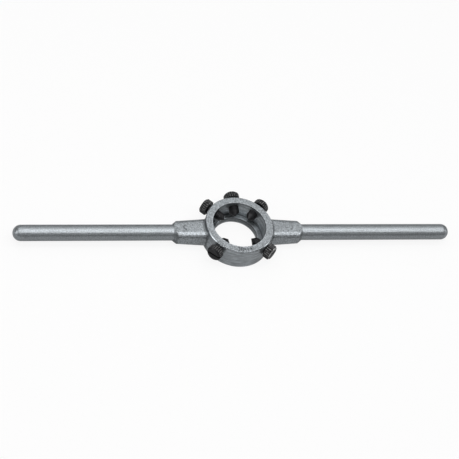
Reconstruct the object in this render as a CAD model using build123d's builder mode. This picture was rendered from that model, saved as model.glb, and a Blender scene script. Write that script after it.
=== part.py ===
from build123d import *
import math
import os

# Hand stock for a 38 mm round threading die. Sizes are in millimetres.
# The origin is on the ring's axis at its underside, +Z points up out of the die seat,
# and +X points along the right handle.

# The die that the stock holds
die_diameter = 38.0
die_thickness = 14.0
die_clearance = 0.1

# Ring with the stepped die seat
ring_wall = 5.1
seat_depth = 12.6
ledge_thickness = 4.6
ledge_width = 3.5
ring_edge_chamfer = 0.4

# Bosses that carry the handles
handle_height = 8.2
boss_overlap = 3.6
boss_end_distance = 46.4
boss_root_width = 17.7
boss_root_height = 13.8
boss_draft = 2.5
boss_corner_radius = 4.6
cone_end_diameter = 12.0
cone_angle = 38.0
pad_distance = 37.4
pad_diameter = 4.2
pad_height = 0.15

# Handles
handle_diameter = 11.2
handle_reach = 158.1
spigot_diameter = 9.6
spigot_length = 14.5
socket_end_clearance = 0.5

# Adjusting screws
screw_diameter = 7.0
screw_clearance = 0.05
screw_length = 13.8
point_angle = 90.0
head_diameter = 11.0
head_length = 5.0
head_gap = 1.4
head_end_chamfer = 1.0
knurl_count = 22
knurl_depth = 0.4
knurl_angle = 90.0
slot_width = 1.3
slot_depth = 1.6

# How far each screw is turned out from the place that leaves the head gap
right_closing_travel = 0.3
spreading_travel = -0.3
left_closing_travel = 0.1
left_holding_travel = 0.2
right_holding_travel = -0.4

# Each screw: name, direction round the ring, distance it is turned out, and turn of its slot
screws = (
    ("right_closing_screw", 45, right_closing_travel, 25),
    ("spreading_screw", 90, spreading_travel, 70),
    ("left_closing_screw", 135, left_closing_travel, 130),
    ("left_holding_screw", 225, left_holding_travel, 6),
    ("right_holding_screw", 315, right_holding_travel, 100),
)

# Radii and levels that follow from the sizes above
seat_radius = die_diameter / 2 + die_clearance
guide_radius = seat_radius - ledge_width
ring_radius = seat_radius + ring_wall
ring_height = ledge_thickness + seat_depth
screw_height = ledge_thickness + die_thickness / 2
screw_radius = screw_diameter / 2
head_radius = head_diameter / 2
handle_radius = handle_diameter / 2
spigot_radius = spigot_diameter / 2
boss_root_distance = ring_radius - boss_overlap
boss_length = boss_end_distance - boss_root_distance
boss_slope = math.tan(math.radians(boss_draft))
cone_outer_radius = boss_root_width
cone_length = (cone_outer_radius - cone_end_diameter / 2) / math.tan(math.radians(cone_angle))
point_length = screw_radius / math.tan(math.radians(point_angle / 2))
groove_half_width = knurl_depth * math.tan(math.radians(knurl_angle / 2))
handle_axis = Axis((0, 0, handle_height), (1, 0, 0))
handle_plane = Plane(origin=(0, 0, handle_height), x_dir=(0, 1, 0), z_dir=(1, 0, 0))
handle_side_plane = Plane(origin=(0, 0, handle_height), x_dir=(1, 0, 0), z_dir=(0, -1, 0))


def boss_half_height(distance):
    return boss_root_height / 2 - (distance - boss_root_distance) * boss_slope


def screw_plane(direction, distance):
    # Plane square to a screw at a distance from the ring's axis, with its normal outwards
    turn = math.radians(direction)
    outwards = Vector(math.cos(turn), math.sin(turn), 0)
    sideways = Vector(-math.sin(turn), math.cos(turn), 0)
    return Plane(origin=outwards * distance + Vector(0, 0, screw_height), x_dir=sideways, z_dir=outwards)


os.makedirs("parts", exist_ok=True)

# Casting: a ring with two tapered bosses, made in one piece
with BuildPart() as stock_body:
    # Boss of rectangular section, narrower and lower towards its end, with rounded corners
    with BuildSketch(handle_side_plane):
        with BuildLine():
            Polyline(
                (boss_root_distance, -boss_root_height / 2),
                (boss_end_distance, -boss_root_height / 2 + boss_length * boss_slope),
                (boss_end_distance, boss_root_height / 2 - boss_length * boss_slope),
                (boss_root_distance, boss_root_height / 2),
                close=True,
            )
        make_face()
    extrude(amount=boss_root_width / 2, both=True)
    with BuildSketch(Plane.XY.offset(handle_height)):
        with BuildLine():
            Polyline(
                (boss_root_distance, -boss_root_width / 2),
                (boss_end_distance, -boss_root_width / 2 + boss_length * boss_slope),
                (boss_end_distance, boss_root_width / 2 - boss_length * boss_slope),
                (boss_root_distance, boss_root_width / 2),
                close=True,
            )
        make_face()
    extrude(amount=boss_root_height / 2, both=True, mode=Mode.INTERSECT)
    long_edges = stock_body.edges().filter_by(lambda edge: edge.length > boss_length)
    fillet(long_edges, boss_corner_radius)

    # Cone on the end of the boss, which leaves a scallop on each flat
    with BuildSketch(handle_side_plane):
        with BuildLine():
            Polyline(
                (boss_root_distance, 0),
                (boss_root_distance, cone_outer_radius),
                (boss_end_distance - cone_length, cone_outer_radius),
                (boss_end_distance, cone_end_diameter / 2),
                (boss_end_distance, 0),
                close=True,
            )
        make_face()
    revolve(axis=handle_axis, mode=Mode.INTERSECT)

    # Blind socket for the handle
    with BuildSketch(handle_plane.offset(boss_end_distance)):
        Circle(spigot_radius)
    extrude(amount=-(spigot_length + socket_end_clearance), mode=Mode.SUBTRACT)

    # Ejector pad on top of the boss: it is level, so its outer side stands out of the slope
    with BuildSketch(Plane.XY.offset(handle_height + boss_half_height(pad_distance) + pad_height)):
        with Locations((pad_distance, 0)):
            Circle(pad_diameter / 2)
    extrude(amount=-3 * pad_height)

    mirror(about=Plane.YZ)

    # Ring with the die seat, the ledge under it and the guide hole through the ledge
    with BuildSketch(Plane.XZ) as ring_section:
        with BuildLine():
            Polyline(
                (guide_radius, 0),
                (ring_radius, 0),
                (ring_radius, ring_height),
                (seat_radius, ring_height),
                (seat_radius, ledge_thickness),
                (guide_radius, ledge_thickness),
                close=True,
            )
        make_face()
        chamfer(ring_section.vertices().group_by(Axis.X)[-1], ring_edge_chamfer)
    revolve(axis=Axis.Z)

    # Radial holes for the adjusting screws
    for _, direction, _, _ in screws:
        with BuildSketch(screw_plane(direction, 0)):
            Circle(screw_radius + screw_clearance)
        extrude(amount=ring_radius + ring_wall, mode=Mode.SUBTRACT)

stock_body.part.label = "stock_body"
export_step(stock_body.part, "parts/stock_body.step")


# Handles: round rods with a spigot in the boss and a ball-shaped free end
def make_handle(side, name):
    socket_plane = Plane(origin=(0, 0, handle_height), x_dir=(side, 0, 0), z_dir=(0, -side, 0))
    spigot_end = boss_end_distance - spigot_length
    with BuildPart() as handle:
        with BuildSketch(socket_plane):
            with BuildLine():
                Polyline(
                    (handle_reach, 0),
                    (spigot_end, 0),
                    (spigot_end, spigot_radius),
                    (boss_end_distance, spigot_radius),
                    (boss_end_distance, handle_radius),
                    (handle_reach - handle_radius, handle_radius),
                )
                RadiusArc((handle_reach - handle_radius, handle_radius), (handle_reach, 0), handle_radius)
            make_face()
        revolve(axis=handle_axis)
    handle.part.label = name
    export_step(handle.part, f"parts/{name}.step")


make_handle(1, "right_handle")
make_handle(-1, "left_handle")


# Adjusting screws: conical point, plain shank, knurled head with a slot across its end
def make_screw(name, direction, turned_out, slot_turn):
    head_plane = screw_plane(direction, ring_radius + head_gap + turned_out)
    side_plane = Plane(origin=head_plane.origin, x_dir=head_plane.z_dir, z_dir=head_plane.x_dir)
    with BuildPart() as screw:
        with BuildSketch(side_plane):
            with BuildLine():
                Polyline(
                    (-screw_length, 0),
                    (-screw_length + point_length, screw_radius),
                    (0, screw_radius),
                    (0, head_radius),
                    (head_length - head_end_chamfer, head_radius),
                    (head_length, head_radius - head_end_chamfer),
                    (head_length, 0),
                    close=True,
                )
            make_face()
        revolve(axis=Axis(head_plane.origin, head_plane.z_dir))

        # Straight V grooves round the head
        with BuildSketch(head_plane):
            with PolarLocations(head_radius, knurl_count):
                Polygon(
                    (-knurl_depth, 0),
                    (knurl_depth, -2 * groove_half_width),
                    (knurl_depth, 2 * groove_half_width),
                    align=None,
                )
        extrude(amount=head_length, mode=Mode.SUBTRACT)

        # Screwdriver slot across the end of the head
        with BuildSketch(head_plane.offset(head_length)):
            Rectangle(head_diameter, slot_width, rotation=slot_turn)
        extrude(amount=-slot_depth, mode=Mode.SUBTRACT)
    screw.part.label = name
    export_step(screw.part, f"parts/{name}.step")


for screw_sizes in screws:
    make_screw(*screw_sizes)
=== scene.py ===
"""Looks of a hand die stock: painted casting and handles, blackened screws, and the studio."""

import math

import bpy
from mathutils import Matrix, Vector


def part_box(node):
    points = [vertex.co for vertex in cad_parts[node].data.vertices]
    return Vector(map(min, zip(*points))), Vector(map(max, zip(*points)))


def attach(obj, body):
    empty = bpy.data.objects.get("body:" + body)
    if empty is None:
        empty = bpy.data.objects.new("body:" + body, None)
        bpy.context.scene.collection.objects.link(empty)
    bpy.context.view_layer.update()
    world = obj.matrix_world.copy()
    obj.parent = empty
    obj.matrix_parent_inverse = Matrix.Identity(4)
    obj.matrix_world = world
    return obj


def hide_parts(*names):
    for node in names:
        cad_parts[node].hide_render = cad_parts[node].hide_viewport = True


bl_info = {
    "name": "Die Stock",
    "version": (1, 0, 0),
    "blender": (4, 5, 0),
    "location": "View3D > Sidebar > Die Stock",
    "description": "Dresses the packed die stock and sets up its studio",
    "category": "Object",
}

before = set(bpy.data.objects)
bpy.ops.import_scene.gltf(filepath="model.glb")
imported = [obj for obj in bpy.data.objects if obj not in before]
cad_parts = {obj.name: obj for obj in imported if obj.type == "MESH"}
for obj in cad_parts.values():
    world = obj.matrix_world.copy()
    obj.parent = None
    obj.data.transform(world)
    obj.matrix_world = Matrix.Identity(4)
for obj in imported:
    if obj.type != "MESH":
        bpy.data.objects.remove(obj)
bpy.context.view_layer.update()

# Each adjusting screw: its direction round the ring and the turn of its slot, in degrees
SCREWS = {
    "right_closing_screw": (45, 25),
    "spreading_screw": (90, 155),
    "left_closing_screw": (135, 130),
    "left_holding_screw": (225, 6),
    "right_holding_screw": (315, 8),
}

# The screw with a painted highlight on the chamfer round its end
HIGHLIGHTED_SCREW = "right_holding_screw"

# Levels and radii of the casting, in metres
RING_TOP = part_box("stock_body")[1].z
RING_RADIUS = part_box("stock_body")[1].y
SEAT_RADIUS = 0.0191
SEAT_FLOOR = 0.0046
GUIDE_RADIUS = 0.0156
RING_MIDDLE = 0.5 * (SEAT_RADIUS + RING_RADIUS)
HANDLE_HEIGHT = 0.5 * (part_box("right_handle")[0].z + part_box("right_handle")[1].z)
BOSS_OVERLAP = 0.0036
BOSS_ROOT = RING_RADIUS - BOSS_OVERLAP
BOSS_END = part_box("stock_body")[1].x
SOCKET_RADIUS = 0.0048
SOCKET_DEPTH = 0.015
SCREW_HEIGHT = 0.0116
SCREW_HOLE_RADIUS = 0.00355

# Chamfers and recess of a screw's head, and the rounding in its slot, in metres
HEAD_CHAMFER = 0.001
UNDER_HEAD_CHAMFER = 0.0003
RECESS_RIM = 0.0004
RECESS_SLOPE = 0.0006
RECESS_DEPTH = 0.00012
SLOT_ROUNDING = 0.00015

# Depth of the thread as a share of its pitch, and the places of a tooth's corners along one pitch
THREAD_DEPTH = 0.58
TOOTH_CORNERS = (0.12, 0.44, 0.56, 0.88)

# How far a tool body reaches past the surface that it cuts, and a boss into the ring
SPARE = 0.001

# Stamped figures: their height as a share of the font's size, and their pitch as a share of their height
FIGURE_SHARE = 0.7
FIGURE_PITCH = 0.66

# Each strip lamp: how high it hangs, as an angle in degrees from the floor behind, and its width
STRIPS = ((30, 0.15), (55, 0.32), (70, 0.15), (82, 0.15), (92, 0.15), (115, 0.15), (150, 0.15))
STRIP_LENGTH = 1.4
STRIP_DISTANCE = 0.85

# The narrow strip that lights the ring's rim: its angle, its width and how far it hangs to the side
RIM_STRIP = (137, 0.12, -0.3)

# The two square lamps beside the object: the place of the right one and their size
SIDE_PLACE = (1.2, -0.1, 0.45)
SIDE_SIZE = 0.6

# The floor, and the plain white that the camera and reflections see in it and in the world
FLOOR_SIZE = 8
FLOOR_GAP = 0.0001
FLOOR_SEEN = (0.88, 0.24)
WORLD_SEEN = (1.0, 0.03)
WORLD_LIGHT = 0.03
WHITE = (1.0, 1.0, 1.0, 1.0)


# Selecting and shaping

def leave_edit_mode():
    if bpy.context.mode != "OBJECT":
        bpy.ops.object.mode_set(mode="OBJECT")


def select_only(piece, *others):
    leave_edit_mode()
    bpy.ops.object.select_all(action="DESELECT")
    for other in others:
        other.select_set(True)
    piece.select_set(True)
    bpy.context.view_layer.objects.active = piece


def edit(piece, mode="VERT"):
    """Opens a piece in edit mode with nothing selected."""
    select_only(piece)
    bpy.ops.object.mode_set(mode="EDIT")
    bpy.ops.mesh.select_mode(type=mode)
    bpy.ops.mesh.select_all(action="DESELECT")


def pick_corners(piece, wanted):
    """Selects the corners whose place passes a test, and stays in edit mode."""
    edit(piece)
    bpy.ops.object.mode_set(mode="OBJECT")
    for corner in piece.data.vertices:
        corner.select = wanted(corner.co)
    bpy.ops.object.mode_set(mode="EDIT")


def pick_end(piece, side):
    """Selects the faces that look up, for a side of 1, or down, for -1, and stays in edit mode."""
    edit(piece, "FACE")
    bpy.ops.object.mode_set(mode="OBJECT")
    for face in piece.data.polygons:
        face.select = side * face.normal.z > 0.9
    bpy.ops.object.mode_set(mode="EDIT")


def bevel(width, segments=1):
    """Chamfers or rounds the selected edges."""
    bpy.ops.mesh.bevel(offset_type="OFFSET", offset=width, segments=segments, affect="EDGES")


def name_added(name):
    """Names the object that was just added, and its data."""
    added = bpy.context.object
    added.name = name
    added.data.name = name
    return added


def extrude_to(piece, before, after):
    """Extrudes the selected end of a piece and moves each new corner from its old place to its new one."""
    bpy.ops.mesh.extrude_region_move()
    bpy.ops.object.mode_set(mode="OBJECT")
    for corner in piece.data.vertices:
        if corner.select:
            number = min(range(len(before)), key=lambda place: (corner.co - before[place]).length)
            corner.co = after[number]
    bpy.ops.object.mode_set(mode="EDIT")


def cylinder(name, radius, bottom, top, sides, turned=0.5):
    """An upright cylinder on the ring's axis, turned by a share of one side."""
    bpy.ops.object.select_all(action="DESELECT")
    bpy.ops.mesh.primitive_cylinder_add(
        vertices=sides, radius=radius, depth=top - bottom, location=(0, 0, (bottom + top) / 2),
        rotation=(0, 0, turned * math.tau / sides))
    made = name_added(name)
    settle(made)
    return made


def move(piece, way):
    """Moves a piece's mesh."""
    edit(piece)
    bpy.ops.mesh.select_all(action="SELECT")
    bpy.ops.transform.translate(value=way)
    leave_edit_mode()


def turn(piece, angle, axis):
    """Turns a piece's mesh about a line through the origin, the right-handed way."""
    piece.rotation_euler = Matrix.Rotation(angle, 4, axis).to_euler()
    settle(piece)


def combine(piece, tool, operation):
    """Cuts, keeps or adds the shape of a tool body, which is then thrown away."""
    select_only(piece)
    modifier = piece.modifiers.new(operation.title(), "BOOLEAN")
    modifier.operation = operation
    modifier.solver = "EXACT"
    modifier.object = tool
    bpy.ops.object.modifier_apply(modifier=modifier.name)
    uses = {}
    for face in piece.data.polygons:
        for edge in face.edge_keys:
            uses[edge] = uses.get(edge, 0) + 1
    if any(count != 2 for count in uses.values()):
        raise RuntimeError(f"{piece.name} is open after {operation.lower()} with {tool.name}")
    bpy.data.objects.remove(tool)


def close_and_face_outwards(piece, gap=1e-6):
    """Merges doubles that are closer than the gap and turns every face outwards."""
    edit(piece)
    bpy.ops.mesh.select_all(action="SELECT")
    bpy.ops.mesh.remove_doubles(threshold=gap)
    bpy.ops.mesh.normals_make_consistent(inside=False)
    leave_edit_mode()


def smooth(piece, degrees):
    """Shades a piece smooth, apart from edges that are sharper than the angle."""
    select_only(piece)
    bpy.ops.object.shade_smooth_by_angle(angle=math.radians(degrees))


def settle(piece):
    """Moves the place of a piece from its object into its mesh."""
    select_only(piece)
    bpy.ops.object.transform_apply(location=True, rotation=True, scale=True)


def give_material(piece, material):
    """Puts a material in place of those that a piece has."""
    piece.data.materials.clear()
    piece.data.materials.append(material)


# Shader maths

class Flow:
    """A number, vector or colour in a material. Numbers and colours take Python's operators."""

    def __init__(self, bench, socket):
        self.bench = bench
        self.socket = socket

    def join(self, operation, first, second):
        """Puts two numbers through a Math node, or through a Mix node if one of them is a colour."""
        if any(is_colour(part) for part in (first, second)):
            settings = {"data_type": "RGBA", "blend_type": operation}
            return self.bench.node("ShaderNodeMix", settings, {0: 1.0, 6: first, 7: second}, 2)
        return self.bench.maths(operation, first, second)

    def __add__(self, other):
        return self.join("ADD", self, other)

    def __radd__(self, other):
        return self.join("ADD", other, self)

    def __sub__(self, other):
        return self.join("SUBTRACT", self, other)

    def __rsub__(self, other):
        return self.join("SUBTRACT", other, self)

    def __mul__(self, other):
        return self.join("MULTIPLY", self, other)

    def __rmul__(self, other):
        return self.join("MULTIPLY", other, self)

    def __abs__(self):
        return self.bench.maths("ABSOLUTE", self)


def is_colour(part):
    """Tells a colour, which is a plain tuple where it isn't a socket, from a number."""
    return part.socket.type == "RGBA" if isinstance(part, Flow) else isinstance(part, tuple)


class Bench:
    """Where one material or the world is put together."""

    def __init__(self, owner):
        owner.use_nodes = True
        self.tree = owner.node_tree
        self.tree.nodes.clear()

    def node(self, kind, settings=None, inputs=None, outlet=0):
        """Adds a node, sets it up, fills or links its sockets and gives back one of its outlets."""
        made = self.tree.nodes.new(kind)
        for name, value in (settings or {}).items():
            setattr(made, name, value)
        for name, value in (inputs or {}).items():
            if isinstance(value, Flow):
                self.tree.links.new(value.socket, made.inputs[name])
            else:
                made.inputs[name].default_value = value
        return Flow(self, made.outputs[outlet])

    def maths(self, operation, *numbers):
        return self.node("ShaderNodeMath", {"operation": operation}, dict(enumerate(numbers)))

    def place(self):
        return self.node("ShaderNodeTexCoord", outlet="Object")

    def attribute(self, name):
        return self.node("ShaderNodeAttribute", {"attribute_name": name}, outlet="Vector")

    def parts(self, vector):
        split = self.node("ShaderNodeSeparateXYZ", inputs={0: vector})
        return [Flow(self, socket) for socket in split.socket.node.outputs]

    def vector(self, x, y, z):
        return self.node("ShaderNodeCombineXYZ", inputs={0: x, 1: y, 2: z})

    def length(self, x, y):
        flat = self.vector(x, y, 0.0)
        return self.node("ShaderNodeVectorMath", {"operation": "LENGTH"}, {0: flat}, "Value")

    def distance(self, place, centre):
        return self.node("ShaderNodeVectorMath", {"operation": "DISTANCE"}, {0: place, 1: centre}, "Value")

    def noise(self, place, size, detail, roughness):
        """Soft noise from 0 to 1, with lumps of about that size in metres."""
        sockets = {"Vector": place, "Scale": 1.0 / size, "Detail": detail, "Roughness": roughness}
        return self.node("ShaderNodeTexNoise", {"normalize": True}, sockets, "Fac")

    def step(self, value, near, far, start=0.0, end=1.0):
        """Goes smoothly from start to end while value goes from near to far, which may lie below near."""
        sockets = {0: value, 1: near, 2: far, 3: start, 4: end}
        return self.node("ShaderNodeMapRange", {"interpolation_type": "SMOOTHSTEP"}, sockets)

    def blend(self, amount, first, second):
        """Goes from the first colour to the second one."""
        sockets = {0: amount, 6: first, 7: second}
        return self.node("ShaderNodeMix", {"data_type": "RGBA"}, sockets, 2)

    def bump(self, height, depth, normal=None):
        """Relief from a height of 0 to 1 that is depth metres deep."""
        sockets = {"Strength": 1.0, "Distance": depth, "Height": height}
        if normal is not None:
            sockets["Normal"] = normal
        return self.node("ShaderNodeBump", {}, sockets)

    def surface(self, varying, constants=None):
        """The surface shader: what varies over the piece, and what is the same all over."""
        self.finish(self.node("ShaderNodeBsdfPrincipled", inputs={**(constants or {}), **varying}))

    def finish(self, shader, kind="ShaderNodeOutputMaterial"):
        """Links a shader to the output."""
        output = self.tree.nodes.new(kind)
        self.tree.links.new(shader.socket, output.inputs["Surface"])


# Materials. Each place on a piece is a mask that goes from 0 to 1 over a distance in metres.

def new_material(name):
    material = bpy.data.materials.new(name)
    return material, Bench(material)


def tone(colour):
    """A colour property as a socket value."""
    return tuple(colour) + (1.0,)


def casting_enamel(settings):
    """Silver-grey enamel over the grain of a sand casting, with machined and rubbed places, and with painted
    highlights and painted shade on its edges, in its hollows and on its bosses.
    """
    material, bench = new_material("casting_enamel")
    place = bench.place()
    x, y, z = bench.parts(place)
    radius = bench.length(x, y)
    grain = bench.noise(place, 0.00105, 3.0, 0.6)
    flecks = bench.noise(place, 0.00032, 1.0, 0.5)
    cloud = bench.noise(place, 0.012, 2.0, 0.5)
    streaks = bench.noise(bench.vector(x * 0.16, y * 0.16, z), 0.0013, 3.0, 0.6)

    on_ring = bench.step(radius, RING_RADIUS + 0.0002, RING_RADIUS - 0.0001)
    wall = on_ring * bench.step(z, RING_TOP - 0.0004, RING_TOP - 0.0006)
    in_seat = bench.step(radius, SEAT_RADIUS + 0.0001, SEAT_RADIUS)
    rim = on_ring * bench.step(radius, RING_RADIUS - 0.0006, RING_RADIUS - 0.0004)
    rim = rim * bench.step(z, RING_TOP - 0.0006, RING_TOP - 0.0004)

    light = 0.40 + 0.80 * bench.step(grain, 0.28, 0.72) + 0.30 * flecks + 0.12 * (cloud - 0.5)
    # Below its top face the ring has streaks in place of the grain, and it is painted lighter than the top
    # face as painted light.
    wall_light = 0.80 + 0.56 * bench.step(streaks, 0.38, 0.62) + 0.10 * flecks
    wall_light = wall_light + in_seat * (1.2 * grain - 0.6)
    light = light + wall * (wall_light - light)
    # The rim is rubbed to bare metal, and its colour is also brightened there as a painted highlight.
    light = light * ring_darkening(bench, radius, z, on_ring) * (1.0 + 0.60 * rim)
    light = light * seat_painted_light(bench, radius, z, in_seat) * guide_painted_light(bench, radius, z, in_seat)
    light = light * boss_painted_shade(bench, settings, (x, y, z), radius)

    rubbed_flat = 1.0 - 0.8 * rim
    relief = bench.bump(grain * rubbed_flat, settings.grain_depth)
    relief = bench.bump(flecks * rubbed_flat, 0.4 * settings.grain_depth, relief)
    bench.surface({
        "Base Color": light * tone(settings.enamel), "Normal": relief,
        "Roughness": enamel_roughness(bench, settings, grain) - 0.18 * rim,
        "Metallic": settings.metal_share + (0.95 - settings.metal_share) * rim,
    })
    return material


def enamel_roughness(bench, settings, grain):
    return bench.step(grain, 0.3, 0.75, settings.gloss_roughness - 0.06, settings.gloss_roughness + 0.08)


def ring_darkening(bench, radius, z, on_ring):
    """Darker stamped figures and a darker band under the ring's rim."""
    in_figures = bench.step(abs(radius - RING_MIDDLE), 0.0021, 0.0019)
    in_figures = in_figures * bench.step(z, RING_TOP - 0.00006, RING_TOP - 0.00012)
    in_figures = in_figures * bench.step(z, RING_TOP - 0.0004, RING_TOP - 0.0003)
    under_rim = on_ring * bench.step(radius, RING_RADIUS - 0.0004, RING_RADIUS - 0.0002)
    under_rim = under_rim * bench.step(z, RING_TOP - 0.0018, RING_TOP - 0.0012)
    return (1.0 - 0.96 * in_figures) * (1.0 - 0.22 * under_rim)


def seat_painted_light(bench, radius, z, in_seat):
    """A painted highlight round the seat's mouth, and painted shade over the seat, more under the mouth and
    in the corner at the ledge.
    """
    mouth_edge = bench.step(radius, SEAT_RADIUS + 0.0006, SEAT_RADIUS + 0.0004)
    mouth_edge = mouth_edge * bench.step(z, RING_TOP - 0.0003, RING_TOP - 0.0001)
    under_mouth = in_seat * bench.step(z, RING_TOP - 0.0014, RING_TOP - 0.0006)
    corner = in_seat * bench.step(radius, SEAT_RADIUS - 0.0008, SEAT_RADIUS - 0.0004)
    corner = corner * bench.step(z, SEAT_FLOOR + 0.0009, SEAT_FLOOR + 0.0004)
    # Painted shade: the whole seat a little darker, and more under the mouth and in the corner at the ledge.
    painted_shade = (1.0 - 0.14 * in_seat) * (1.0 - 0.42 * under_mouth) * (1.0 - 0.40 * corner)
    # A painted highlight on the edge round the mouth.
    return painted_shade * (1.0 + 0.30 * mouth_edge)


def guide_painted_light(bench, radius, z, in_seat):
    """Painted shade on the ledge and on the wall of the guide hole, and painted highlights on the edges over
    and under that wall.
    """
    on_ledge = in_seat * bench.step(z, SEAT_FLOOR + 0.0003, SEAT_FLOOR + 0.0001)
    by_guide = bench.step(radius, GUIDE_RADIUS + 0.0010, GUIDE_RADIUS + 0.0007)
    top_edge = by_guide * on_ledge * bench.step(z, SEAT_FLOOR - 0.0003, SEAT_FLOOR - 0.0001)
    wall = by_guide * bench.step(z, SEAT_FLOOR - 0.0001, SEAT_FLOOR - 0.0003)
    under_edge = wall * bench.step(z, SEAT_FLOOR - 0.0018, SEAT_FLOOR - 0.0012)
    low_edge = wall * bench.step(z, 0.0009, 0.0006)
    # Painted shade on the ledge and the wall, most just under the ledge's inner edge.
    painted_shade = (1.0 - 0.20 * on_ledge) * (1.0 - 0.24 * wall) * (1.0 - 0.42 * under_edge)
    # Painted highlights on the ledge's inner edge and on the lowest edge of the wall.
    return painted_shade * (1.0 + 0.50 * top_edge) * (1.0 + 0.80 * low_edge)


def boss_painted_shade(bench, settings, place, radius):
    """Painted shade where a boss meets the ring, round the outer side of its pad, and on the cone at its
    end.
    """
    x, y, z = place
    beyond_root = abs(radius - (RING_RADIUS + 0.8 * settings.root_fillet))
    root = bench.step(beyond_root, 1.1 * settings.root_fillet, 0.5 * settings.root_fillet)
    root = root * bench.step(abs(y), 0.0092, 0.0086)
    root = root * bench.step(z, RING_TOP - 0.0008, RING_TOP - 0.0012)
    from_pad = bench.length(abs(x) - settings.pad_place, y)
    pad_side = bench.step(abs(from_pad - settings.pad_radius), 0.00045, 0.00015)
    pad_side = pad_side * bench.step(abs(x), settings.pad_place, settings.pad_place + 0.0012)
    pad_side = pad_side * bench.step(z, HANDLE_HEIGHT, HANDLE_HEIGHT + 0.001)
    cone_line = settings.cone_end + (BOSS_END - abs(x)) * math.tan(settings.cone_angle)
    on_cone = bench.step(cone_line - bench.length(y, z - HANDLE_HEIGHT), 0.0003, 0.0001)
    # Painted shade at the root, beside the pad and on the cone.
    return (1.0 - 0.45 * root) * (1.0 - 0.50 * pad_side) * (1.0 - 0.36 * on_cone)


def handle_enamel(settings):
    """The same enamel on drawn bar, with finer grain."""
    material, bench = new_material("handle_enamel")
    place = bench.place()
    grain = bench.noise(place, 0.0008, 3.0, 0.6)
    flecks = bench.noise(place, 0.0003, 1.0, 0.5)
    cloud = bench.noise(place, 0.018, 2.0, 0.5)
    light = 0.56 + 0.52 * bench.step(grain, 0.28, 0.72) + 0.24 * flecks + 0.14 * (cloud - 0.5)
    bench.surface({
        "Base Color": light * tone(settings.enamel), "Roughness": enamel_roughness(bench, settings, grain),
        "Normal": bench.bump(grain, 0.8 * settings.grain_depth),
    }, {"Metallic": settings.metal_share})
    return material


def blackened_steel(settings):
    """Black oxide on turned steel, rubbed bright on the crests of the knurl, where the brighter colour also
    stands in for glints as a painted highlight, and with a painted highlight on the end chamfer of one
    screw.
    """
    material, bench = new_material("blackened_steel")
    x, y, z = bench.parts(bench.attribute("place_on_screw"))
    place = bench.place()
    radius = bench.length(x, y)
    crests = settings.head_diameter / 2
    mottle = bench.noise(place, 0.0011, 3.0, 0.6)
    grain = bench.noise(place, 0.00025, 2.0, 0.5)
    turning = bench.noise(bench.vector(radius, 0.0, z), 0.00018, 2.0, 0.5)

    # Crests rubbed to bare steel; their brighter colour also stands in for glints on them as a painted
    # highlight.
    crest = bench.step(radius, crests - 0.00022, crests) * bench.step(mottle, 0.38, 0.60)
    groove = bench.step(radius, crests - 0.0001, crests - 0.0003)
    groove = groove * bench.step(radius, crests - 0.0019, crests - 0.0015)
    groove = groove * bench.step(z, settings.head_length - 0.0009, settings.head_length - 0.0011)
    on_thread = bench.step(z, 0.0002, -0.0002)
    low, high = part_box(HIGHLIGHTED_SCREW)
    # A painted highlight on the end chamfer of one screw's head.
    painted_end_highlight = bench.step(bench.distance(place, (low + high) / 2), 0.014, 0.012)
    painted_end_highlight = painted_end_highlight * bench.step(z, settings.head_length - 0.0006, settings.head_length - 0.0004)
    painted_end_highlight = painted_end_highlight * bench.step(radius, crests - 0.0011, crests - 0.0009)

    light = (0.7 + 0.6 * mottle) * (1.0 - 0.5 * groove) * (1.0 + 0.50 * on_thread)
    colour = bench.blend(crest * settings.crest_wear_and_glint, light * tone(settings.oxide), tone(settings.bare_steel_and_glint))
    bench.surface({
        "Base Color": bench.blend(painted_end_highlight, colour, tone(settings.end_highlight)),
        "Roughness": bench.step(mottle, 0.3, 0.7, 0.32, 0.48) - 0.15 * painted_end_highlight,
        "Normal": bench.bump(turning, 0.000008, bench.bump(grain, 0.000012)),
    }, {"Metallic": 0.75})
    return material


# Sizes and colours that a user would change

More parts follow.
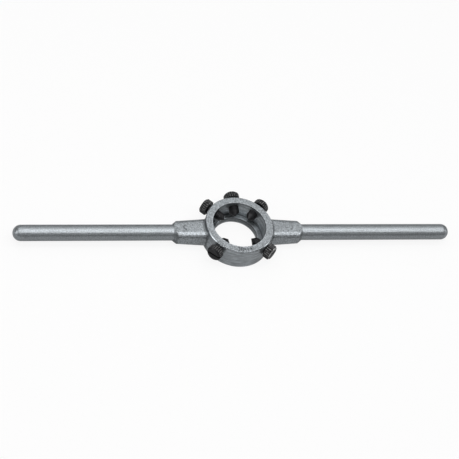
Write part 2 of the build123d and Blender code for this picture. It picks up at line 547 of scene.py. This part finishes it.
class CastingSettings(bpy.types.PropertyGroup):
    enamel: bpy.props.FloatVectorProperty(
        name="Enamel", description="Colour of the enamel on the casting and the handles",
        subtype="COLOR", size=3, min=0.0, max=1.0, default=(0.395, 0.424, 0.446))
    metal_share: bpy.props.FloatProperty(
        name="Metal share", description="How metallic the enamel's flakes look",
        subtype="FACTOR", min=0.0, max=1.0, default=0.8)
    gloss_roughness: bpy.props.FloatProperty(
        name="Roughness", description="Roughness of the enamel",
        subtype="FACTOR", min=0.0, max=1.0, default=0.36)
    grain_depth: bpy.props.FloatProperty(
        name="Grain depth", description="Depth of the casting's grain under the enamel",
        subtype="DISTANCE", default=0.00006, precision=6)
    boss_width: bpy.props.FloatProperty(
        name="Boss width", description="Width of a boss at its root",
        subtype="DISTANCE", default=0.0177, precision=5)
    boss_height: bpy.props.FloatProperty(
        name="Boss height", description="Height of a boss at its root",
        subtype="DISTANCE", default=0.0138, precision=5)
    boss_draft: bpy.props.FloatProperty(
        name="Boss draft", description="Slope of each side of a boss",
        subtype="ANGLE", default=math.radians(2.5))
    boss_corner: bpy.props.FloatProperty(
        name="Boss corner", description="Radius of the long corners of a boss",
        subtype="DISTANCE", default=0.0046, precision=5)
    cone_end: bpy.props.FloatProperty(
        name="Cone end", description="Radius of the small end of the cone on a boss",
        subtype="DISTANCE", default=0.006, precision=5)
    cone_angle: bpy.props.FloatProperty(
        name="Cone angle", description="Slope of the cone on a boss",
        subtype="ANGLE", default=math.radians(38))
    pad_place: bpy.props.FloatProperty(
        name="Pad distance", description="Distance of an ejector pad from the ring's axis",
        subtype="DISTANCE", default=0.0374, precision=5)
    pad_radius: bpy.props.FloatProperty(
        name="Pad radius", description="Radius of an ejector pad",
        subtype="DISTANCE", default=0.0021, precision=5)
    pad_height: bpy.props.FloatProperty(
        name="Pad height", description="How far the middle of a pad stands out of the boss",
        subtype="DISTANCE", default=0.00015, precision=6)
    rim_chamfer: bpy.props.FloatProperty(
        name="Rim chamfer", description="Size of the chamfer on the ring's outer rims",
        subtype="DISTANCE", default=0.0004, precision=5)
    root_fillet: bpy.props.FloatProperty(
        name="Root fillet", description="Size of the fillet where a boss meets the ring",
        subtype="DISTANCE", default=0.001, precision=5)
    edge_softness: bpy.props.FloatProperty(
        name="Edge softness", description="Width of the rounding on the casting's edges",
        subtype="DISTANCE", default=0.0002, precision=5)
    number: bpy.props.StringProperty(
        name="Size number", description="Die size stamped on the ring", default="38×14")
    number_height: bpy.props.FloatProperty(
        name="Number height", description="Height of the stamped figures",
        subtype="DISTANCE", default=0.0032, precision=5)
    number_depth: bpy.props.FloatProperty(
        name="Number depth", description="Depth of the stamped figures",
        subtype="DISTANCE", default=0.00025, precision=6)
    number_direction: bpy.props.FloatProperty(
        name="Number direction", description="Where on the ring the middle of the number stands",
        subtype="ANGLE", default=math.radians(-89.6))


class ScrewSettings(bpy.types.PropertyGroup):
    shank_diameter: bpy.props.FloatProperty(
        name="Thread diameter", description="Diameter over the crests of the thread",
        subtype="DISTANCE", default=0.00696, precision=5)
    thread_pitch: bpy.props.FloatProperty(
        name="Pitch", description="Distance from one turn of the thread to the next",
        subtype="DISTANCE", default=0.001, precision=5)
    shank_length: bpy.props.FloatProperty(
        name="Length under head", description="Length of a screw from its head to its point",
        subtype="DISTANCE", default=0.0138, precision=5)
    head_diameter: bpy.props.FloatProperty(
        name="Head diameter", description="Diameter over the crests of the knurl",
        subtype="DISTANCE", default=0.011, precision=5)
    head_length: bpy.props.FloatProperty(
        name="Head length", description="Length of the knurled head",
        subtype="DISTANCE", default=0.005, precision=5)
    knurl_count: bpy.props.IntProperty(
        name="Grooves", description="Number of straight grooves round the head", default=22)
    knurl_depth: bpy.props.FloatProperty(
        name="Groove depth", description="Depth of each groove of the knurl",
        subtype="DISTANCE", default=0.0004, precision=5)
    slot_width: bpy.props.FloatProperty(
        name="Slot width", description="Width of the screwdriver slot",
        subtype="DISTANCE", default=0.0013, precision=5)
    slot_depth: bpy.props.FloatProperty(
        name="Slot depth", description="Depth of the screwdriver slot",
        subtype="DISTANCE", default=0.0016, precision=5)
    oxide: bpy.props.FloatVectorProperty(
        name="Oxide", description="Colour of the blackened steel",
        subtype="COLOR", size=3, min=0.0, max=1.0, default=(0.034, 0.034, 0.036))
    # Colour of the rubbed crests, which is also a painted highlight for their glints.
    bare_steel_and_glint: bpy.props.FloatVectorProperty(
        name="Bare steel", description="Colour of the steel where the black is rubbed off",
        subtype="COLOR", size=3, min=0.0, max=1.0, default=(0.30, 0.30, 0.30))
    # Colour of the painted highlight on the end chamfer of one screw.
    end_highlight: bpy.props.FloatVectorProperty(
        name="Rubbed edge", description="Colour of the one edge that is rubbed brightest",
        subtype="COLOR", size=3, min=0.0, max=1.0, default=(0.6, 0.6, 0.6))
    # How much of the crests is rubbed bright, which is partly real wear and partly painted highlight.
    crest_wear_and_glint: bpy.props.FloatProperty(
        name="Wear", description="How much of the black is rubbed off the crests",
        subtype="FACTOR", min=0.0, max=1.0, default=0.5)


class StageSettings(bpy.types.PropertyGroup):
    floor_colour: bpy.props.FloatVectorProperty(
        name="Floor", description="Colour of the floor",
        subtype="COLOR", size=3, min=0.0, max=1.0, default=(0.9, 0.9, 0.9))
    floor_to_object: bpy.props.FloatVectorProperty(
        name="Floor to object", description="Colour in which the floor throws light back on the object",
        subtype="COLOR", size=3, min=0.0, max=1.0, default=(0.35, 0.35, 0.35))
    turn: bpy.props.FloatProperty(
        name="Turn", description="Direction of the camera round the object",
        subtype="ANGLE", default=math.radians(-25.002))
    rise: bpy.props.FloatProperty(
        name="Rise", description="Height of the camera over the floor as an angle",
        subtype="ANGLE", default=math.radians(50.157))
    roll: bpy.props.FloatProperty(
        name="Roll", description="Roll of the camera about its view",
        subtype="ANGLE", default=math.radians(19.566))
    distance: bpy.props.FloatProperty(
        name="Distance", description="Distance from the camera to the ring",
        subtype="DISTANCE", default=1.31133, precision=5)
    aside: bpy.props.FloatVectorProperty(
        name="Aside", description="How far the view is moved right and up from the ring",
        subtype="TRANSLATION", size=2, default=(-0.003463, 0.006903), precision=6)
    lens: bpy.props.FloatProperty(
        name="Lens", description="Focal length in millimetres on a sensor 36 mm wide",
        unit="CAMERA", default=146.21)
    strip_lights: bpy.props.FloatVectorProperty(
        name="Strip lights", description="Powers of the long lamps over the object, from back to front",
        unit="POWER", size=7, default=(0.58, 1.30, 0.32, 1.67, 2.14, 3.12, 0.30))
    rim_light: bpy.props.FloatProperty(
        name="Rim light", description="Power of the lamp for the ring's rim", unit="POWER", default=0.09)
    left_light: bpy.props.FloatProperty(
        name="Left light", description="Power of the lamp on the left", unit="POWER", default=2.5)
    right_light: bpy.props.FloatProperty(
        name="Right light", description="Power of the lamp on the right", unit="POWER", default=1.5)


# Casting and handles

class DIESTOCK_OT_casting(bpy.types.Operator):
    """Model the ring with its two bosses and stamp the die size on it"""

    bl_idname = "diestock.casting"
    bl_label = "Casting"

    def execute(self, context):
        settings = context.scene.diestock_casting
        casting = cylinder("casting", RING_RADIUS, 0.0, RING_TOP, 128)
        for direction in (0.0, math.pi):
            combine(casting, self.boss(settings, direction), "UNION")
        combine(casting, cylinder("seat", SEAT_RADIUS, SEAT_FLOOR, RING_TOP + SPARE, 128), "DIFFERENCE")
        combine(casting, cylinder("guide", GUIDE_RADIUS, -SPARE, RING_TOP, 128), "DIFFERENCE")
        for direction, _ in SCREWS.values():
            combine(casting, self.screw_hole(math.radians(direction)), "DIFFERENCE")
        close_and_face_outwards(casting)
        self.soften(casting, settings)
        self.stamp(casting, settings)
        smooth(casting, 32)
        shading = casting.modifiers.new("Shading", "WEIGHTED_NORMAL")
        shading.keep_sharp = True
        bpy.ops.object.modifier_apply(modifier=shading.name)
        give_material(casting, casting_enamel(settings))
        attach(casting, "stock")
        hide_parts("stock_body")
        return {"FINISHED"}

    def boss(self, settings, direction):
        """A tapered bar with round corners and a flared root, a cone on its end, a pad and a socket."""
        outline = self.boss_outline()
        rings = [
            [self.boss_place(settings, spot, reach, flare) for spot in outline]
            for reach, flare in self.root_stations(settings.root_fillet)
        ]
        rings.append([self.boss_place(settings, spot) for spot in outline])
        bpy.ops.object.select_all(action="DESELECT")
        bpy.ops.mesh.primitive_circle_add(vertices=len(outline), fill_type="NGON")
        boss = name_added("boss")
        for corner, place in zip(boss.data.vertices, rings[0]):
            corner.co = place
        edit(boss)
        bpy.ops.mesh.select_all(action="SELECT")
        for before, after in zip(rings, rings[1:]):
            extrude_to(boss, before, after)
        leave_edit_mode()
        close_and_face_outwards(boss)
        combine(boss, self.cone(settings), "INTERSECT")

        slope = math.tan(settings.boss_draft)
        flat = HANDLE_HEIGHT + settings.boss_height / 2 - (settings.pad_place - BOSS_ROOT) * slope
        rise = settings.pad_height
        pad = cylinder("pad", settings.pad_radius, flat - 2 * rise, flat + rise, 48)
        move(pad, (settings.pad_place, 0, 0))
        combine(boss, pad, "UNION")

        socket = cylinder("socket", SOCKET_RADIUS, -SOCKET_DEPTH, SPARE, 48)
        turn(socket, math.radians(90), "Y")
        move(socket, (BOSS_END, 0, HANDLE_HEIGHT))
        combine(boss, socket, "DIFFERENCE")
        turn(boss, direction, "Z")
        return boss

    def cone(self, settings):
        """The cone that the end of a boss is cut to."""
        run = BOSS_END - BOSS_ROOT + SPARE
        bpy.ops.object.select_all(action="DESELECT")
        bpy.ops.mesh.primitive_cone_add(
            vertices=96, radius1=settings.cone_end + run * math.tan(settings.cone_angle),
            radius2=settings.cone_end, depth=run, rotation=(0, math.radians(90), 0),
            location=(BOSS_END - run / 2, 0, HANDLE_HEIGHT))
        cone = name_added("cone")
        settle(cone)
        return cone

    def boss_outline(self):
        """Spots round a boss: the share of each flat that they lie at, and their direction outwards."""
        corners = ((1, 1), (-1, 1), (-1, -1), (1, -1))
        corner_steps, flat_steps = 8, 6
        outline = []
        for quarter, (across, up) in enumerate(corners):
            for step in range(corner_steps + 1):
                outline.append((across, up, math.radians(90 * quarter + 90 * step / corner_steps)))
            next_across, next_up = corners[(quarter + 1) % 4]
            for step in range(1, flat_steps):
                share = step / flat_steps
                outline.append((
                    across + (next_across - across) * share,
                    up + (next_up - up) * share,
                    math.radians(90 * quarter + 90)))
        return outline

    def root_stations(self, fillet):
        """How far each ring of the root is from the wall and flares out, from inside the wall outwards."""
        steepest = math.radians(80)
        steps = 6
        sunk = 0.00002
        slopes = [steepest * (1 - step / steps) for step in range(steps + 1)]
        stations = [(fillet * (1 - math.sin(slope)), fillet * (1 - math.cos(slope))) for slope in slopes]
        widest = stations[0][1] + (stations[0][0] + sunk) * math.tan(steepest)
        return [(-SPARE, widest), (-sunk, widest)] + stations

    def boss_place(self, settings, spot, reach=None, flare=0.0):
        """The place of a spot at a reach from the ring's wall, or at the end of the boss."""
        across, up, direction = spot
        corner = settings.boss_corner + flare

        def at(distance):
            narrowing = (distance - BOSS_ROOT) * math.tan(settings.boss_draft) + settings.boss_corner
            return Vector((
                distance,
                across * (settings.boss_width / 2 - narrowing) + corner * math.cos(direction),
                HANDLE_HEIGHT + up * (settings.boss_height / 2 - narrowing) + corner * math.sin(direction)))

        if reach is None:
            return at(BOSS_END)
        return at(math.sqrt(RING_RADIUS ** 2 - at(RING_RADIUS).y ** 2) + reach)

    def screw_hole(self, direction):
        """A round bar from the ring's axis outwards."""
        hole = cylinder("hole", SCREW_HOLE_RADIUS, 0.0, 2 * RING_RADIUS, 48)
        turn(hole, math.radians(90), "Y")
        move(hole, (0, 0, SCREW_HEIGHT))
        turn(hole, direction, "Z")
        return hole

    def soften(self, casting, settings):
        """Chamfers the ring's outer rims, then rounds every outer edge a little."""
        near, just = 0.0001, 0.00001

        def on_rim(place):
            level = place.z < just or place.z > RING_TOP - just
            return level and math.hypot(place.x, place.y) > RING_RADIUS - near

        pick_corners(casting, on_rim)
        bpy.ops.mesh.select_mode(type="EDGE")
        bevel(settings.rim_chamfer)
        leave_edit_mode()
        softening = casting.modifiers.new("Soften", "BEVEL")
        softening.limit_method = "ANGLE"
        softening.angle_limit = math.radians(30)
        softening.offset_type = "OFFSET"
        softening.width = settings.edge_softness
        softening.segments = 2
        select_only(casting)
        bpy.ops.object.modifier_apply(modifier=softening.name)

    def stamp(self, casting, settings):
        """Cuts the figures into the flat top of the ring, each turned to follow the ring."""
        pitch = FIGURE_PITCH * settings.number_height / RING_MIDDLE
        start = settings.number_direction - pitch * (len(settings.number) - 1) / 2
        letters = []
        for position, figure in enumerate(settings.number):
            bpy.ops.object.select_all(action="DESELECT")
            bpy.ops.object.text_add(location=(0, 0, 0))
            letter = name_added("figure")
            letter.data.body = figure
            letter.data.align_x = "CENTER"
            letter.data.align_y = "CENTER"
            letter.data.size = settings.number_height / FIGURE_SHARE
            letter.data.extrude = settings.number_depth
            letter.data.resolution_u = 6
            bpy.ops.object.convert(target="MESH")
            direction = start + pitch * position
            letter.location = Vector((math.cos(direction), math.sin(direction), 0)) * RING_MIDDLE
            letter.location.z = RING_TOP
            letter.rotation_euler = (0, 0, direction + math.radians(90))
            settle(letter)
            letters.append(letter)
        select_only(*letters)
        bpy.ops.object.join()
        number = letters[0]
        close_and_face_outwards(number, 1e-5)
        combine(casting, number, "DIFFERENCE")


class DIESTOCK_OT_handles(bpy.types.Operator):
    """Paint the two handles"""

    bl_idname = "diestock.handles"
    bl_label = "Handles"

    def execute(self, context):
        enamel = handle_enamel(context.scene.diestock_casting)
        for name in ("left_handle", "right_handle"):
            give_material(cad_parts[name], enamel)
        return {"FINISHED"}


# Adjusting screws

class DIESTOCK_OT_screws(bpy.types.Operator):
    """Model one adjusting screw and place a copy in each hole of the ring"""

    bl_idname = "diestock.screws"
    bl_label = "Adjusting Screws"

    def execute(self, context):
        settings = context.scene.diestock_screw
        steel = blackened_steel(settings)
        pattern = self.head(settings)
        combine(pattern, self.thread(settings), "UNION")
        close_and_face_outwards(pattern)
        places = [tuple(corner.co) for corner in pattern.data.vertices]
        local = pattern.data.attributes.new("place_on_screw", "FLOAT_VECTOR", "POINT")
        local.data.foreach_set("vector", [part for place in places for part in place])
        give_material(pattern, steel)
        smooth(pattern, 28)
        for name, (direction, slot_turn) in SCREWS.items():
            self.put(pattern, name, math.radians(direction), math.radians(slot_turn), settings)
        bpy.data.objects.remove(pattern)
        return {"FINISHED"}

    def head(self, settings):
        """A knurled bar, turned to a blank with chamfered ends and slotted."""
        bar = self.knurled_bar(settings)
        combine(bar, self.blank(settings), "INTERSECT")
        combine(bar, self.slot(settings), "DIFFERENCE")
        return bar

    def knurled_bar(self, settings):
        """A bar with six corners to each groove, of which three are pushed in."""
        size = settings.head_diameter / 2
        corners = 6
        steps = settings.knurl_count * corners
        bar = cylinder("screw", size, -SPARE, settings.head_length + SPARE, steps, turned=0)

        def place_in_groove(place):
            return round(math.atan2(place.y, place.x) / math.tau * steps) % corners

        bottom, slopes = (0,), (1, corners - 1)
        for wanted, share in ((bottom, 1), (slopes, 0.5)):
            pick_corners(bar, lambda place: place_in_groove(place) in wanted)
            scale = 1 - share * settings.knurl_depth / size
            bpy.ops.transform.resize(value=(scale, scale, 1), center_override=(0, 0, 0))
        leave_edit_mode()
        return bar

    def blank(self, settings):
        """The turned outline of the head, with a shallow recess in its end."""
        spare = 0.0001
        blank = cylinder("blank", settings.head_diameter / 2 + spare, 0, settings.head_length, 128, turned=0)
        pick_end(blank, 1)
        bevel(HEAD_CHAMFER + spare)
        pick_end(blank, -1)
        bevel(UNDER_HEAD_CHAMFER + spare)
        pick_end(blank, 1)
        bpy.ops.mesh.inset(thickness=RECESS_RIM)
        bpy.ops.mesh.inset(thickness=RECESS_SLOPE, depth=-RECESS_DEPTH)
        leave_edit_mode()
        return blank

    def slot(self, settings):
        """A bar across the end of the head, rounded below."""
        bpy.ops.object.select_all(action="DESELECT")
        bpy.ops.mesh.primitive_cube_add(size=1, location=(0, 0, settings.head_length))
        slot = name_added("slot")
        slot.scale = (1.5 * settings.head_diameter, settings.slot_width, 2 * settings.slot_depth)
        settle(slot)
        pick_end(slot, -1)
        bevel(SLOT_ROUNDING, 2)
        leave_edit_mode()
        return slot

    def thread(self, settings):
        """A helix turned from one tooth, trimmed to the pointed outline of the shank."""
        thread = self.tooth(settings)
        turns = thread.modifiers.new("Turns", "SCREW")
        turns.axis = "Z"
        turns.angle = math.tau
        turns.screw_offset = settings.thread_pitch
        turns.iterations = math.ceil(settings.shank_length / settings.thread_pitch) + 4
        turns.steps = turns.render_steps = 36
        select_only(thread)
        bpy.ops.object.modifier_apply(modifier=turns.name)
        edit(thread)
        bpy.ops.mesh.select_all(action="SELECT")
        bpy.ops.mesh.remove_doubles(threshold=1e-6)
        bpy.ops.mesh.select_all(action="SELECT")
        bpy.ops.mesh.fill_holes(sides=0)
        leave_edit_mode()
        close_and_face_outwards(thread)
        combine(thread, self.pointed_bar(settings), "INTERSECT")
        return thread

    def tooth(self, settings):
        """The outline of one tooth over one pitch, from root to crest and back, below the point."""
        pitch, crest = settings.thread_pitch, settings.shank_diameter / 2
        root = crest - THREAD_DEPTH * pitch
        rise, flat, fall, end = TOOTH_CORNERS
        outline = ((root, 0), (root, rise), (crest, flat), (crest, fall), (root, end), (root, 1))
        bpy.ops.object.select_all(action="DESELECT")
        bpy.ops.mesh.primitive_plane_add(
            size=pitch, location=(root, 0, -settings.shank_length - 1.5 * pitch))
        tooth = name_added("thread")
        settle(tooth)
        edit(tooth)
        bpy.ops.mesh.select_all(action="SELECT")
        bpy.ops.mesh.merge(type="CENTER")
        for (near, low), (far, high) in zip(outline, outline[1:]):
            way = (far - near, 0, (high - low) * pitch)
            bpy.ops.mesh.extrude_vertices_move(TRANSFORM_OT_translate={"value": way})
        leave_edit_mode()
        return tooth

    def pointed_bar(self, settings):
        """The outline of the shank with its point, which reaches a little into the head."""
        inside_head, clear, blunt = 0.0004, 0.00002, 0.03
        point = settings.shank_diameter / 2 + clear
        bar = cylinder("outline", point, point - settings.shank_length, inside_head, 72, turned=0)
        pick_end(bar, -1)
        way = (0, 0, (blunt - 1) * point)
        bpy.ops.mesh.extrude_region_move(TRANSFORM_OT_translate={"value": way})
        bpy.ops.transform.resize(value=(blunt, blunt, 1), center_override=(0, 0, 0))
        leave_edit_mode()
        return bar

    def put(self, pattern, name, direction, slot_turn, settings):
        """Copies the pattern into its hole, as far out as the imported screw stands."""
        outwards = Vector((math.cos(direction), math.sin(direction), 0))
        sideways = Vector((-math.sin(direction), math.cos(direction), 0))
        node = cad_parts[name]
        low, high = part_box(name)
        reach = max(corner.co.dot(outwards) for corner in node.data.vertices)
        seat = outwards * (reach - settings.head_length)
        seat.z = (low.z + high.z) / 2
        upright = Matrix((sideways, (0, 0, 1), outwards)).transposed().to_4x4()
        screw = pattern.copy()
        screw.data = pattern.data.copy()
        screw.name = screw.data.name = name.replace("_screw", "_screw_dressed")
        bpy.context.scene.collection.objects.link(screw)
        screw.matrix_world = Matrix.Translation(seat) @ upright @ Matrix.Rotation(slot_turn, 4, "Z")
        settle(screw)
        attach(screw, name)
        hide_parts(name)


# Studio

class Rays:
    """What the camera, a reflection and glass look at, apart from light that falls on a surface."""

    def __init__(self, bench):
        path = bench.node("ShaderNodeLightPath")
        outlets = path.socket.node.outputs
        self.camera, self.glossy, self.through = (
            Flow(bench, outlets[name]) for name in ("Is Camera Ray", "Is Glossy Ray", "Is Transmission Ray"))
        self.bench = bench

    def seen(self, to_camera, in_gloss):
        """Share of plain white for the camera and glass, and a smaller share in reflections."""
        straight = self.bench.maths("MAXIMUM", self.camera * to_camera, self.through * to_camera)
        return self.bench.maths("MAXIMUM", straight, self.glossy * in_gloss)


class DIESTOCK_OT_stage(bpy.types.Operator):
    """Set up the floor, the lamps, the world and the camera"""

    bl_idname = "diestock.stage"
    bl_label = "Studio"

    def execute(self, context):
        settings = context.scene.diestock_stage
        self.floor(settings)
        self.world(context.scene)
        for number, (strip, power) in enumerate(zip(STRIPS, settings.strip_lights), 1):
            self.strip(f"strip_light_{number}", power, *strip)
        self.strip("rim_light", settings.rim_light, *RIM_STRIP)
        across, along, height = SIDE_PLACE
        square = (SIDE_SIZE, SIDE_SIZE)
        self.lamp("left_light", settings.left_light, (-across, along, height), square)
        self.lamp("right_light", settings.right_light, (across, along, height), square)
        self.camera(context.scene, settings)
        context.scene.view_settings.view_transform = "Standard"
        return {"FINISHED"}

    def floor(self, settings):
        """A sheet that the camera sees nearly white, with the object's shadow on it."""
        bpy.ops.object.select_all(action="DESELECT")
        bpy.ops.mesh.primitive_plane_add(size=FLOOR_SIZE, location=(0, 0, -FLOOR_GAP))
        floor = name_added("floor")
        settle(floor)
        material, bench = new_material("floor_paper")
        rays = Rays(bench)
        paper = bench.blend(rays.camera, tone(settings.floor_to_object), tone(settings.floor_colour))
        lit = bench.node("ShaderNodeBsdfDiffuse", inputs={"Color": paper})
        plain = bench.node("ShaderNodeEmission", inputs={"Color": WHITE, "Strength": 1.0})
        bench.finish(bench.node("ShaderNodeMixShader", inputs={0: rays.seen(*FLOOR_SEEN), 1: lit, 2: plain}))
        give_material(floor, material)

    def world(self, scene):
        """A world that the camera sees white and that hardly lights the object."""
        world = bpy.data.worlds.new("studio")
        scene.world = world
        bench = Bench(world)
        rays = Rays(bench)
        dim = bench.node("ShaderNodeBackground", inputs={"Color": WHITE, "Strength": WORLD_LIGHT})
        plain = bench.node("ShaderNodeBackground", inputs={"Color": WHITE, "Strength": 1.0})
        both = bench.node("ShaderNodeMixShader", inputs={0: rays.seen(*WORLD_SEEN), 1: dim, 2: plain})
        bench.finish(both, "ShaderNodeOutputWorld")

    def strip(self, name, power, rise, width, aside=0.0):
        """A lamp along the handles, as many degrees over the back of the floor as its rise says."""
        rise = math.radians(rise)
        place = (aside, STRIP_DISTANCE * math.cos(rise), STRIP_DISTANCE * math.sin(rise))
        self.lamp(name, power, place, (STRIP_LENGTH, width))

    def lamp(self, name, power, place, size):
        """An area lamp that points to the middle of the ring's underside."""
        bpy.ops.object.select_all(action="DESELECT")
        bpy.ops.object.light_add(type="AREA", location=place)
        lamp = name_added(name)
        lamp.data.shape = "RECTANGLE"
        lamp.data.size, lamp.data.size_y = size
        lamp.data.energy = power
        lamp.rotation_euler = (-Vector(place)).to_track_quat("-Z", "Y").to_euler()

    def camera(self, scene, settings):
        """Looks at the ring from the front left above, with the roll that levels the handles."""
        bearing, rise = settings.turn, settings.rise
        right = Vector((math.cos(bearing), math.sin(bearing), 0))
        forwards = Vector((-math.sin(bearing), math.cos(bearing), 0))
        back = Vector((0, 0, math.sin(rise))) - forwards * math.cos(rise)
        up = back.cross(right)
        level = math.cos(settings.roll) * right + math.sin(settings.roll) * up
        upright = back.cross(level)
        place = back * settings.distance + level * settings.aside[0] + upright * settings.aside[1]
        bpy.ops.object.camera_add(location=place)
        camera = name_added("camera")
        camera.rotation_euler = Matrix((level, upright, back)).transposed().to_euler()
        camera.data.sensor_width = 36
        camera.data.lens = settings.lens
        scene.camera = camera


# Panel and start

class DIESTOCK_PT_panel(bpy.types.Panel):
    """Lists the pieces of the die stock and their settings"""

    bl_idname = "DIESTOCK_PT_panel"
    bl_label = "Die Stock"
    bl_space_type = "VIEW_3D"
    bl_region_type = "UI"
    bl_category = "Die Stock"

    def draw(self, context):
        layout = self.layout
        for heading, operators, settings in PANEL:
            box = layout.box()
            box.label(text=heading)
            group = getattr(context.scene, settings)
            for name in group.__annotations__:
                box.prop(group, name)
            for operator in operators:
                box.operator(operator)


PANEL = (
    ("Casting and handles", ("diestock.casting", "diestock.handles"), "diestock_casting"),
    ("Screws", ("diestock.screws",), "diestock_screw"),
    ("Studio", ("diestock.stage",), "diestock_stage"),
)

CLASSES = (
    CastingSettings, ScrewSettings, StageSettings,
    DIESTOCK_OT_casting, DIESTOCK_OT_handles, DIESTOCK_OT_screws, DIESTOCK_OT_stage, DIESTOCK_PT_panel,
)


def register():
    for made in CLASSES:
        bpy.utils.register_class(made)
    bpy.types.Scene.diestock_casting = bpy.props.PointerProperty(type=CastingSettings)
    bpy.types.Scene.diestock_screw = bpy.props.PointerProperty(type=ScrewSettings)
    bpy.types.Scene.diestock_stage = bpy.props.PointerProperty(type=StageSettings)


def unregister():
    del bpy.types.Scene.diestock_stage
    del bpy.types.Scene.diestock_screw
    del bpy.types.Scene.diestock_casting
    for made in reversed(CLASSES):
        bpy.utils.unregister_class(made)


def main():
    register()
    bpy.ops.diestock.casting()
    bpy.ops.diestock.handles()
    bpy.ops.diestock.screws()
    bpy.ops.diestock.stage()


if __name__ == "__main__":
    main()
